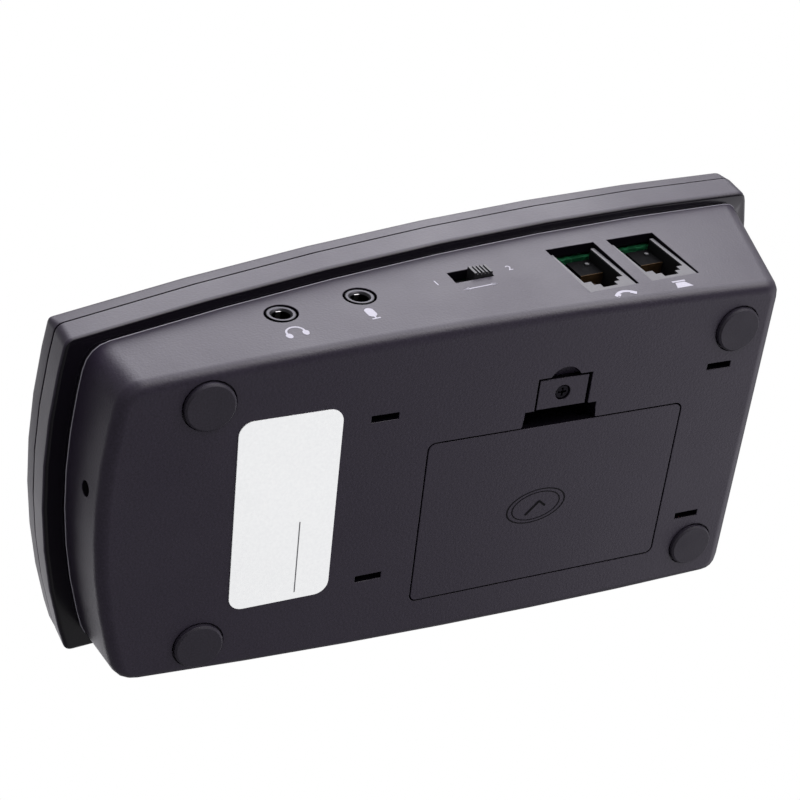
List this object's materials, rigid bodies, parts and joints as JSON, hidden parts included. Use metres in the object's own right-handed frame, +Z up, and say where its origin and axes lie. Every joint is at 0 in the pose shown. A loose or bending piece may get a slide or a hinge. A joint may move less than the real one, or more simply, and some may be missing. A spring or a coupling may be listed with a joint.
{
  "type": "telephone call recorder",
  "caption": "Wedge-shaped desk call recorder in dark grey plastic: display, keys and loudspeaker on top; audio jacks, slide switch and telephone sockets on one side; battery door below.",
  "frame": {"origin": "middle of the bounding box in plan, on the plane that the four feet stand on", "axes": "+Z up, +Y towards the high rear end, +X towards the side wall with the jacks, the switch and the telephone sockets"},
  "size_m": [0.0824, 0.179, 0.0538],
  "materials": {
    "housing_plastic": "matt, finely textured",
    "black_plastic": "smooth, half matt",
    "key_plastic": "half matt",
    "foot_rubber": "matt",
    "key_rubber": "matt",
    "label_film": "satin",
    "board_laminate": "solder mask",
    "plated_steel": "nickel plated",
    "gold_plating": "gold plated",
    "cell_jacket": "printed film on steel",
    "window_plastic": "clear, tinted",
    "display_frame": "half matt",
    "lamp_plastic": "clear red",
    "core_steel": "varnished"
  },
  "bodies": {
    "housing": {"bottom_shell": "housing_plastic", "rim_frame": "housing_plastic", "top_cover": "housing_plastic", "foot_front_left": "foot_rubber", "foot_front_right": "foot_rubber", "foot_rear_left": "foot_rubber", "foot_rear_right": "foot_rubber", "housing_screw_front_left": "plated_steel", "housing_screw_front_right": "plated_steel", "housing_screw_rear_left": "plated_steel", "housing_screw_rear_right": "plated_steel", "battery_1": "cell_jacket", "battery_2": "cell_jacket", "battery_spring_1": "plated_steel", "battery_spring_2": "plated_steel", "battery_plate_1": "plated_steel", "battery_plate_2": "plated_steel", "main_board": "board_laminate", "board_screw_1": "plated_steel", "board_screw_2": "plated_steel", "board_screw_3": "plated_steel", "board_screw_4": "plated_steel", "line_transformer": "core_steel", "processor_chip": "black_plastic", "capacitor": "black_plastic", "headphone_jack": "black_plastic", "headphone_jack_nose": "plated_steel", "microphone_jack": "black_plastic", "microphone_jack_nose": "plated_steel", "source_switch": "black_plastic", "handset_socket": "black_plastic", "handset_socket_contacts": "gold_plating", "line_socket": "black_plastic", "line_socket_contacts": "gold_plating", "microphone_boot": "foot_rubber", "microphone_capsule": "plated_steel", "blank_label": "label_film", "display_window": "window_plastic", "display_module": "display_frame", "control_board": "board_laminate", "key_mat": "key_rubber", "record_lamp": "lamp_plastic", "loudspeaker": "black_plastic"},
    "door": {"battery_door": "housing_plastic", "door_screw": "plated_steel"},
    "switch_knob": {"source_switch_knob": "black_plastic"},
    "key_previous": {"previous_key": "key_plastic"},
    "key_play": {"play_key": "key_plastic"},
    "key_next": {"next_key": "key_plastic"},
    "key_menu": {"menu_key": "key_plastic"},
    "key_confirm": {"confirm_key": "key_plastic"},
    "key_delete": {"delete_key": "key_plastic"},
    "key_volume_down": {"volume_down_key": "key_plastic"},
    "key_record": {"record_key": "key_plastic"},
    "key_volume_up": {"volume_up_key": "key_plastic"}
  },
  "joints": [
    {"name": "battery_door_hinge", "type": "hinge", "parent": "housing", "child": "door", "pos_m": [-0.028, 0.01545, 0.0012], "axis": [0, 1, 0], "range_deg": [0, 75]},
    {"name": "source_switch_slide", "type": "slide", "parent": "housing", "child": "switch_knob", "axis": [0, -0.9964, -0.0847], "range_m": [0, 0.00445]},
    {"name": "previous_key_press", "type": "slide", "parent": "housing", "child": "key_previous", "axis": [0, 0.1281, -0.9918], "range_m": [0, 0.0008], "stiffness_N_per_m": 800, "springref_m": -0.0003},
    {"name": "play_key_press", "type": "slide", "parent": "housing", "child": "key_play", "axis": [0, 0.1281, -0.9918], "range_m": [0, 0.0008], "stiffness_N_per_m": 800, "springref_m": -0.0003},
    {"name": "next_key_press", "type": "slide", "parent": "housing", "child": "key_next", "axis": [0, 0.1281, -0.9918], "range_m": [0, 0.0008], "stiffness_N_per_m": 800, "springref_m": -0.0003},
    {"name": "menu_key_press", "type": "slide", "parent": "housing", "child": "key_menu", "axis": [0, 0.136, -0.9907], "range_m": [0, 0.0008], "stiffness_N_per_m": 800, "springref_m": -0.0003},
    {"name": "confirm_key_press", "type": "slide", "parent": "housing", "child": "key_confirm", "axis": [0, 0.136, -0.9907], "range_m": [0, 0.0008], "stiffness_N_per_m": 800, "springref_m": -0.0003},
    {"name": "delete_key_press", "type": "slide", "parent": "housing", "child": "key_delete", "axis": [0, 0.136, -0.9907], "range_m": [0, 0.0008], "stiffness_N_per_m": 800, "springref_m": -0.0003},
    {"name": "volume_down_key_press", "type": "slide", "parent": "housing", "child": "key_volume_down", "axis": [0, 0.1438, -0.9896], "range_m": [0, 0.0008], "stiffness_N_per_m": 800, "springref_m": -0.0003},
    {"name": "record_key_press", "type": "slide", "parent": "housing", "child": "key_record", "axis": [0, 0.1438, -0.9896], "range_m": [0, 0.0008], "stiffness_N_per_m": 800, "springref_m": -0.0003},
    {"name": "volume_up_key_press", "type": "slide", "parent": "housing", "child": "key_volume_up", "axis": [0, 0.1438, -0.9896], "range_m": [0, 0.0008], "stiffness_N_per_m": 800, "springref_m": -0.0003}
  ]
}
